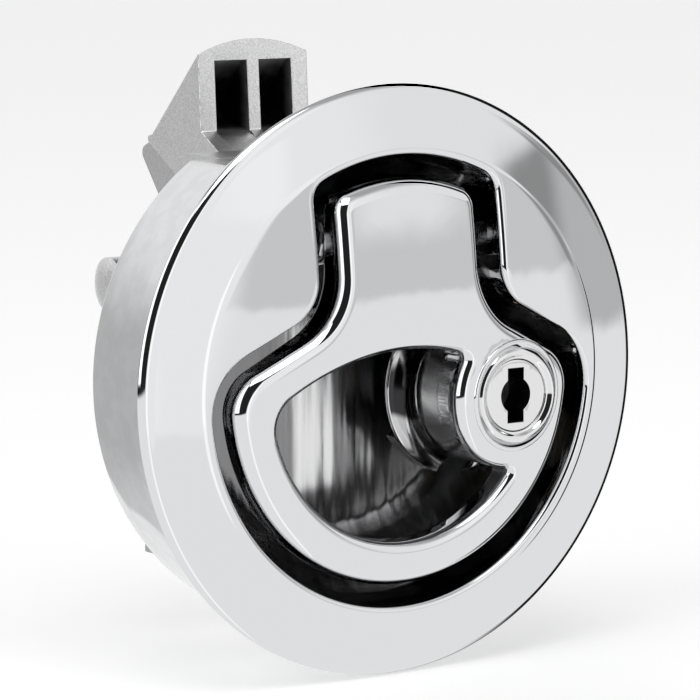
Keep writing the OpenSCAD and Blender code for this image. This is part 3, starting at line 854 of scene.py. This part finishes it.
lock_front = collar = start_loop(plate, on_dome(lock_circle(COLLAR_R), HANDLE_SINK))
fill_between(plate, outer_back, hole_back)
for radius, depth in COLLAR_PROFILE:
    collar = extrude_to(plate, collar, on_dome(lock_circle(radius), HANDLE_SINK + depth))
field = fill_between(plate, outer_front, hole_front, lock_front)
split_long(plate, field, LONGEST_EDGE, lambda x, z: dome(x, z, HANDLE_SINK))
handle = finish_mesh("handle_plate", plate, [chrome, painted_recess_shade])
# The back and side faces of the plate get the painted recess shade
sort_faces(handle, lambda middle, normal: int(middle.y > HANDLE_BACK - 0.1))
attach(handle, "lift_handle")
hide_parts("handle")

# %% [markdown]
# ### Boss and skirt
# Behind the plate the boss round the lock shows in the finger opening. It flares to a thin
# bright edge on the side of the fingers. The boss is a skin whose outline stays inside the
# handle's. The flare is a section turned part of the way round the lock, so that its two
# ends are flat, as they are on the casting.

# %% Boss
BOSS_END = 3.2
BOSS_FRONT = -2.6
BOSS_BORE = 4.7
BOSS_STEPS = 144


def reach(poly, origin, angle, most):
    ray = Vector((math.cos(angle), math.sin(angle)))
    best = most
    for p, q in zip(poly, poly[1:] + poly[:1]):
        side = q - p
        turn = ray.x * side.y - ray.y * side.x
        if abs(turn) < 1e-9:
            continue
        away = p - origin
        far = (away.x * side.y - away.y * side.x) / turn
        share = (away.x * ray.y - away.y * ray.x) / turn
        if far > 0 and 0 <= share <= 1:
            best = min(best, far)
    return best


limit = handle_edge(0.4)
boss_points = []
for k in range(BOSS_STEPS):
    angle = 2 * math.pi * k / BOSS_STEPS
    far = reach(limit, LOCK, angle, BOSS_R)
    boss_points.append(LOCK + far * Vector((math.cos(angle), math.sin(angle))))
boss_profile = ((0.3, BOSS_FRONT), (0, BOSS_FRONT + 0.3), (0, -1.0), (0, 0.6), (0, 2.0),
                (0, BOSS_END - 0.2), (0.06, BOSS_END - 0.06), (0.2, BOSS_END),
                (BOSS_R - BOSS_BORE, BOSS_END), (BOSS_R - BOSS_BORE, BOSS_FRONT))
boss = bmesh.new()
skin(boss, [at_depth([LOCK + (p - LOCK) * (1 - shrink / BOSS_R) for p in boss_points], y)
            for shrink, y in boss_profile])
boss_piece = finish_mesh("lock_boss", boss, [boss_chrome])
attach(boss_piece, "lift_handle")

# %% Skirt
SKIRT_R = 9.7
SKIRT_BACK = 6.1
SKIRT_FRONT = 2.9
SKIRT_FROM, SKIRT_TO = 100.0, 250.0
SKIRT_BORE = 6.87
FLARE_SHADE = (3.4, 5.48)
SHADE_TOP = 2.5
SKIRT_PROFILE = ((SKIRT_BORE, SKIRT_FRONT), (BOSS_R - 0.02, SKIRT_FRONT), (BOSS_R, 3.3), (7.82, 3.75),
                 (7.95, 4.15), (8.15, 4.5), (8.45, 4.85), (8.8, 5.15), (9.2, 5.38),
                 (SKIRT_R - 0.12, 5.5), (SKIRT_R - 0.03, 5.56), (SKIRT_R, 5.68), (SKIRT_R, 5.95),
                 (SKIRT_R - 0.1, SKIRT_BACK), (SKIRT_R - 0.5, SKIRT_BACK), (SKIRT_BORE, SKIRT_BACK))

skirt = bmesh.new()
start = math.radians(SKIRT_FROM)
section = [Vector((LOCK.x + r * math.cos(start), y, LOCK.y + r * math.sin(start)))
           for r, y in SKIRT_PROFILE]
verts = start_loop(skirt, section)
face = bmesh.ops.contextual_create(skirt, geom=loop_edges(verts))["faces"][0]
bmesh.ops.spin(skirt, geom=[face] + list(face.edges) + list(face.verts), cent=(LOCK.x, 0, LOCK.y),
               axis=(0, -1, 0), angle=math.radians(SKIRT_TO - SKIRT_FROM), steps=75,
               use_duplicate=False)
skirt_piece = finish_mesh("lock_skirt", skirt, [chrome, painted_recess_shade])
# A low band of the flare gets the painted recess shade
sort_faces(skirt_piece, lambda middle, normal: int(FLARE_SHADE[0] < middle.y < FLARE_SHADE[1]
                                                   and middle.z < SHADE_TOP))
ends = skirt_piece.modifiers.new("ends", "BEVEL")
ends.width = 0.25 * MM
ends.segments = 3
ends.limit_method = "ANGLE"
ends.angle_limit = math.radians(50)
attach(skirt_piece, "lift_handle")

# %% [markdown]
# ### Knuckle and leg
# The knuckle turns on the pin, and the long leg reaches back to draw the bolt. Both are
# rough parts of the casting that show only in slits, so boxes and bars with bevelled edges
# are enough.

# %% Rounded boxes and bars
BEVEL = {"profile": 0.5, "affect": "EDGES", "material": -1}


def rounded_box(bm, low, high, radius):
    made = add_box(bm, low, high)
    edges = list({e for v in made for e in v.link_edges})
    bmesh.ops.bevel(bm, geom=edges, offset=radius, segments=3, **BEVEL)


def round_bar(bm, radius, start, stop):
    made = add_bar(bm, radius, start, stop)
    caps = [e for e in {e for v in made for e in v.link_edges}
            if any(len(f.verts) > 4 for f in e.link_faces)]
    bmesh.ops.bevel(bm, geom=caps, offset=0.2, segments=2, **BEVEL)


# %% Knuckle and leg
KNUCKLE_R = 2.7
KNUCKLE_LEFT, KNUCKLE_RIGHT = -6.05, 8.3
KNUCKLE_HALF = 2.4
KNUCKLE_FRONT = -0.8
PAD = ((-7.75, KNUCKLE_FRONT, 17.3), (-6.15, 0.4, 19.6))
NOSE = Vector((25.4, 15.5))
LEG_HALF, LEG_T, NECK_T, NECK_LEN, NOSE_R = 2.5, 3.4, 2.0, 4.5, 1.5

linkage = bmesh.new()
round_bar(linkage, KNUCKLE_R, (KNUCKLE_LEFT, PIVOT_Y, PIVOT_Z), (KNUCKLE_RIGHT, PIVOT_Y, PIVOT_Z))
rounded_box(linkage, (KNUCKLE_LEFT, KNUCKLE_FRONT, PIVOT_Z - KNUCKLE_HALF),
            (KNUCKLE_RIGHT, PIVOT_Y, PIVOT_Z + KNUCKLE_HALF), 0.3)
rounded_box(linkage, *PAD, 0.2)
leg = bmesh.new()
leg_run = NOSE.x - PIVOT_Y
for thick, run, radius in ((LEG_T, leg_run - NECK_LEN, 0.4), (NECK_T, leg_run, 0.3)):
    rounded_box(leg, (-LEG_HALF, PIVOT_Y, PIVOT_Z - thick / 2),
                (LEG_HALF, PIVOT_Y + run, PIVOT_Z + thick / 2), radius)
lean = math.atan2(NOSE.y - PIVOT_Z, leg_run)
bmesh.ops.rotate(leg, cent=(0, PIVOT_Y, PIVOT_Z), matrix=Matrix.Rotation(lean, 3, "X"), verts=leg.verts)
round_bar(leg, NOSE_R, (-LEG_HALF, NOSE.x, NOSE.y), (LEG_HALF, NOSE.x, NOSE.y))
# The knuckle gets the painted recess shade all over
for name, bm, finish in (("handle_knuckle", linkage, painted_recess_shade), ("handle_leg", leg, satin)):
    piece = finish_mesh(name, bm, [finish])
    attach(piece, "lift_handle")

# %% [markdown]
# ## Lock
# The barrel ends in a round head with a sloping edge and a shallow ring inside it, and the
# plug's face lies a little lower. What is turned on a lathe is made here in the same way: a
# profile is spun all the way round the lock's axis.

# %% Lock barrel
LOCK_FACE = -4.4
BARREL_R, BARREL_BORE, BARREL_END = 4.66, 3.79, 5.9
HEAD_R, HEAD_TOP_R = 5.42, 4.5
RING_W, RING_DROP = 0.65, 0.42


def turned(name, profile, finish):
    bm = bmesh.new()
    verts = [bm.verts.new((LOCK.x + r, y, LOCK.y)) for r, y in profile]
    edges = [bm.edges.new(pair) for pair in zip(verts, verts[1:])]
    bmesh.ops.spin(bm, geom=verts + edges, cent=(LOCK.x, 0, LOCK.y), axis=(0, 1, 0),
                   angle=2 * math.pi, steps=96, use_merge=True, use_duplicate=False)
    return finish_mesh(name, bm, [finish])


head = [(BARREL_R, 1.6), (HEAD_R, 1.55), (HEAD_R, 0.95), (5.3, 0.72), (5.12, 0.5), (4.92, 0.3),
        (4.72, 0.13), (4.6, 0.05), (HEAD_TOP_R, 0.01)]
head += [(HEAD_TOP_R - RING_W * share, RING_DROP * ease(share)) for share in shares(8)]
head.append((BARREL_BORE, 0.6))
barrel_profile = ([(BARREL_R, BARREL_END)] + [(r, LOCK_FACE + depth) for r, depth in head]
                  + [(BARREL_BORE, BARREL_END), (BARREL_R, BARREL_END)])
barrel = turned("lock_barrel_head", barrel_profile, lock_chrome)
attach(barrel, "lift_handle")
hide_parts("lock_barrel")

# %% [markdown]
# ### Plug and keyway
# The plug turns with the key. Its keyway is a round hole with a slot above and below, deep,
# and its walls are painted near black as painted shade. It could be cut with a boolean. A
# second skin for its wall, joined to the plug's face by a fill, gives its edge a tiny bevel
# that catches the light.

# %% Plug and keyway
PLUG_R = 3.75
PLUG_FACE = LOCK_FACE + 0.5
PLUG_END = 6.3
SHANK_HALF = 2.2
SHANK_END = 7.9
KEY_R, KEY_HALF, KEY_REACH, KEY_DEPTH = 1.85, 1.0, 2.85, 7.0


def key_edge(grow):
    r, half, far = KEY_R + grow, KEY_HALF + grow, KEY_REACH + grow
    side = math.degrees(math.asin(half / r))
    right = arc(0, 0, r, -90 + side, 90 - side, 24)
    corner = [Vector((half, far)), Vector((-half, far))]
    left = [Vector((-p.x, p.y)) for p in reversed(right)]
    foot = [Vector((-half, -far)), Vector((half, -far))]
    return [LOCK + p for p in right + corner + left + foot]


# The keyway's walls take the painted shade
def plug_slot(middle, normal):
    far = math.hypot(middle.x - LOCK.x, middle.z - LOCK.y)
    return int(far < 3.3 and PLUG_FACE + 0.05 < middle.y < 4)


plug_mesh = bmesh.new()
plug_profile = ((0, PLUG_END), (0, PLUG_FACE + 0.15), (0.05, PLUG_FACE + 0.04), (0.15, PLUG_FACE))
key_profile = ((0, KEY_DEPTH), (0, 0.1), (0.03, 0.03), (0.1, 0.0))
_, plug_edge = skin(plug_mesh, [at_depth(lock_circle(PLUG_R - inset, 96), y)
                                for inset, y in plug_profile], cap_start=True)
_, key_mouth = skin(plug_mesh, [at_depth(key_edge(grow), PLUG_FACE + depth)
                                for grow, depth in key_profile], cap_start=True)
fill_between(plug_mesh, plug_edge, key_mouth)
rounded_box(plug_mesh, (LOCK.x - SHANK_HALF, PLUG_END - 0.1, LOCK.y - SHANK_HALF),
            (LOCK.x + SHANK_HALF, SHANK_END, LOCK.y + SHANK_HALF), 0.15)
plug_piece = finish_mesh("key_plug", plug_mesh, [lock_chrome, keyway_painted_shade])
sort_faces(plug_piece, plug_slot)
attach(plug_piece, "lock_core")
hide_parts("lock_plug")

# %% [markdown]
# ## Bolt
# The bolt is a satin casting. Its side outline is extruded across in thin slices, so that
# the top can be bent to its low arch. The slices keep one order of points, and only the top
# of the face and the round heel come down towards the sides.

# %% Bolt
BOLT_HALF = 6.9
SLICES = 24
ARCH_TOP_R = 18.6
TOP_LEAN = Vector((0.12, 1.12))
FACE_LOW = [Vector((22.3, 19.2)), Vector((22.3, 22.2)), Vector((26.0, 24.2))]
FACE_TOP = Vector((26.7, 34.0))
HEEL = Vector((36.55, 23.6))
HEEL_R = 0.9
UNDER_SIDE = [Vector((37.1, 22.5)), Vector((31.3, 19.2))]

heel_arc = arc(*HEEL, HEEL_R, 48, -36, 8)
ramp_way = (heel_arc[0] - FACE_TOP).normalized()
ramp_normal = Vector((-ramp_way.y, ramp_way.x))


def bolt_slice(x):
    drop = ARCH_TOP_R - math.sqrt(ARCH_TOP_R ** 2 - x * x)
    top = FACE_TOP - drop * TOP_LEAN
    heel = [p - drop * ramp_normal * (1 - k / len(heel_arc)) for k, p in enumerate(heel_arc)]
    return [Vector((x, p.x, p.y)) for p in FACE_LOW + [top] + heel + UNDER_SIDE]


bolt_mesh = bmesh.new()
skin(bolt_mesh, [bolt_slice(BOLT_HALF * (2 * share - 1)) for share in [0] + shares(SLICES)],
     cap_start=True, cap_end=True)

# %% [markdown]
# ### Painted shade in the pockets
# Two pockets save metal in the bolt's front. They are as-cast. Light hardly gets in, so their
# colour is painted darker from the mouth inwards and less at the top, as painted shade. The
# shade follows the depth in the bolt's own coordinates, and so stays right from every side.

# %% Painted shade in the pockets
pocket_painted_shade, pocket_shader, place = new_metal("pocket_shade")
_, depth, height = place.parts()
shade_mottle = place.noise(900.0, 4.0)
# Painted shade: darker with depth, less at the top, mottled by noise
shade = ramp(depth, 26.2, 28.4) * (1 - ramp(height, 29.0, 32.5) * 0.5) - (shade_mottle - 0.5) * 0.3
feed(pocket_shader, Base_Color=shade.blend((0.5, 0.5, 0.5), (0.03, 0.03, 0.03)),
     Roughness=shade_mottle * 0.2 + 0.35)

# %% Pockets
POCKET = [(23.5, 23.1), (23.5, 31.7), (27.5, 31.7), (32.3, 26.3), (31.4, 25.2), (26.5, 24.1)]
POCKET_LOW, POCKET_TOP, POCKET_BACK = 23.5, 31.8, 32.4
RIB_HALF = 0.75
POCKET_FAR = 4.85
FRONT_Y, FRONT_Z, FRONT_SLOPE = 26.0, 24.2, 0.7 / 9.4
SATIN, WORN, POCKET_SHADE = range(3)


def bolt_slot(middle, normal):
    front = FRONT_Y + FRONT_SLOPE * (middle.z - FRONT_Z)
    beside_rib = RIB_HALF - 0.05 < abs(middle.x) < POCKET_FAR + 0.05
    inside = beside_rib and POCKET_LOW < middle.z < POCKET_TOP
    deep = front + 0.1 < middle.y < POCKET_BACK and normal.y < 0.3
    return POCKET_SHADE if inside and deep else SATIN


def add_pocket(bm, low_x, high_x):
    ends = [[Vector((x, y, z)) for y, z in POCKET] for x in (low_x, high_x)]
    skin(bm, ends, cap_start=True, cap_end=True)


bolt = finish_mesh("bolt_casting", bolt_mesh, [satin, worn, pocket_painted_shade])
for low_x, high_x in ((-POCKET_FAR, -RIB_HALF), (RIB_HALF, POCKET_FAR)):
    combine(bolt, tool(add_pocket, low_x, high_x))
sort_faces(bolt, bolt_slot)
print("bolt after its pockets:", len(bolt.data.polygons), "faces")

# %% [markdown]
# ### Worn edges of the bolt
# Where the bolt rubs on its strike, its edges are round and bright. A Bevel modifier gives
# its new faces a material of their own, which draws the worn line without a mask. It works
# by weight, so that the edges down inside the pockets stay sharp.

# %% Worn edges of the bolt
WORN_WIDTH = 0.38
marked = bmesh.new()
marked.from_mesh(bolt.data)
weights = marked.edges.layers.float.new("bevel_weight_edge")
for edge in marked.edges:
    pockets = sum(face.material_index == POCKET_SHADE for face in edge.link_faces)
    if pockets < 2 and edge.calc_face_angle(0.0) > math.radians(35):
        edge[weights] = 1.0
marked.to_mesh(bolt.data)
marked.free()
soft = bolt.modifiers.new("soft_edges", "BEVEL")
soft.width = WORN_WIDTH * MM
soft.segments = 3
soft.limit_method = "WEIGHT"
soft.material = WORN
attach(bolt, "bolt_slide_body")
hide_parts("bolt")

# %% [markdown]
# ## Floor
# A pale floor fills the whole background and takes the object's shadow. Seen by the camera
# it glows a little, so that it is nearly white without more light on the object. For rays
# from the chrome it is clear, so that the metal reflects the drawn surround instead.

# %% Floor
FLOOR_Z = -30.7
FLOOR_GLOW = 0.42
FLOOR_HALF = 3000
floor_mesh = bmesh.new()
bmesh.ops.create_grid(floor_mesh, x_segments=1, y_segments=1, size=FLOOR_HALF)
bmesh.ops.translate(floor_mesh, vec=(0, 0, FLOOR_Z), verts=floor_mesh.verts)
floor_material = bpy.data.materials.new("pale_floor")
floor_material.use_nodes = True
tree = floor_material.node_tree
tree.nodes.clear()
ray = tree.nodes.new("ShaderNodeLightPath").outputs
glossy = Wire(ray["Is Glossy Ray"])
plain = glossy.node("ShaderNodeBsdfDiffuse", Color=(0.8, 0.8, 0.8, 1))
glow = glossy.node("ShaderNodeEmission", Color=(1, 1, 1, 1),
                   Strength=Wire(ray["Is Camera Ray"]) * FLOOR_GLOW)
both = glossy.node("ShaderNodeAddShader", i0=plain, i1=glow)
through = glossy.node("ShaderNodeBsdfTransparent", Color=(1, 1, 1, 1))
seen = glossy.node("ShaderNodeMixShader", i0=glossy, i1=both, i2=through)
feed(tree.nodes.new("ShaderNodeOutputMaterial"), Surface=seen)
floor = finish_mesh("floor", floor_mesh, [floor_material])

# %% [markdown]
# ## Surround and light
# Chrome shows what is around it, so the surround is drawn as a soft studio: light all over,
# a grey card to the right, a bright one at the left, and darker sides that only the steep
# walls reflect. Real panels could be set up round the part, but then each would also light
# it. Here a direction is turned into two angles, and each card is a soft window in them.

# %% Directions round the part
world = bpy.data.worlds.new("studio")
scene.world = world
world.use_nodes = True
tree = world.node_tree
tree.nodes.clear()
way = Wire(tree.nodes.new("ShaderNodeTexCoord").outputs["Generated"])
dx, dy, dz = way.parts()
azimuth = dx.math("ARCTAN2", dy * -1.0) * (180 / math.pi)
elevation = dz.math("ARCSINE") * (180 / math.pi)
ripple = way.noise(14.0, 3.0)
high = elevation + (ripple - 0.5) * 3.0
slant = azimuth - elevation * 0.35


def within(value, low, top, soft_low, soft_top):
    return (value.smooth(low - soft_low, low + soft_low)
            * (1 - value.smooth(top - soft_top, top + soft_top)))


# %% Cards of the surround
front_left = (1 - slant.smooth(8.0, 12.0)) * azimuth.smooth(-20, -16) * high.smooth(-13.6, -12.4)
lens_strip = within(azimuth, -15, -5, 1, 2)
over_bezel = within(azimuth, 6, 32, 6, 6) * elevation.smooth(13.5, 15.5)
over_handle = within(azimuth, 27, 42, 4, 4)
grey_band = (high.smooth(0.6, 1.6) * (1 - high.smooth(5, 9) * over_handle) * slant.smooth(8, 12)
             * (1 - azimuth.smooth(60, 64)) * (1 - elevation.smooth(13.5, 15.5)))
right_card = ((azimuth + elevation * 0.35).smooth(56, 60) * (1 - azimuth.smooth(74, 76))
              * within(high, -4.5, 15, 1.2, 2.5))
right_wall = within(azimuth, 77, 140, 1.5, 8) * within(elevation, -40, 60, 6, 8)
behind_left = within(azimuth, -180, -125, 1, 8) * within(high, -32, 14, 16, 12)
dark_left = (within(azimuth - elevation * 0.3, -130, -18, 4, 1.5)
             * within(elevation, -6, 70, 1, 6))
left_card = within(azimuth, -110, -60, 3, 1.5) * within(elevation, -2.5, 55, 0.8, 6)
overhead = elevation.smooth(40, 60) * (1 - dark_left)

# %% Brightness of the surround
STUDIO_LEVEL = 0.95
level = (STUDIO_LEVEL + 0.08 * front_left + 0.25 * lens_strip + 0.07 * over_bezel
         - 0.24 * grey_band - 0.39 * right_card - 0.94 * right_wall - 0.4 * behind_left)
level = level * (1 - 0.98 * dark_left) + 1.6 * left_card - 0.5 * overhead
direct = Wire(tree.nodes.new("ShaderNodeLightPath").outputs["Is Camera Ray"])
background = way.node("ShaderNodeBackground", Color=(1, 1, 1, 1),
                      Strength=direct + (1 - direct) * level)
feed(tree.nodes.new("ShaderNodeOutputWorld"), Surface=background)
print("surround has", len(tree.nodes), "nodes")

# %% [markdown]
# ### Lamp
# One wide lamp, high up at the front left, gives the soft shadow on the floor. It is weak,
# because the surround already lights the metal.

# %% Lamp
LAMP_PLACE = (-150, -250, 600)
LAMP_SIZE = 400
LAMP_POWER = 1.2
lamp = bpy.data.lights.new("top_light", "AREA")
lamp.size = LAMP_SIZE * MM
lamp.energy = LAMP_POWER
top_light = bpy.data.objects.new("top_light", lamp)
top_light.location = MM * Vector(LAMP_PLACE)
top_light.rotation_euler = top_light.location.to_track_quat("Z", "Y").to_euler()
scene.collection.objects.link(top_light)
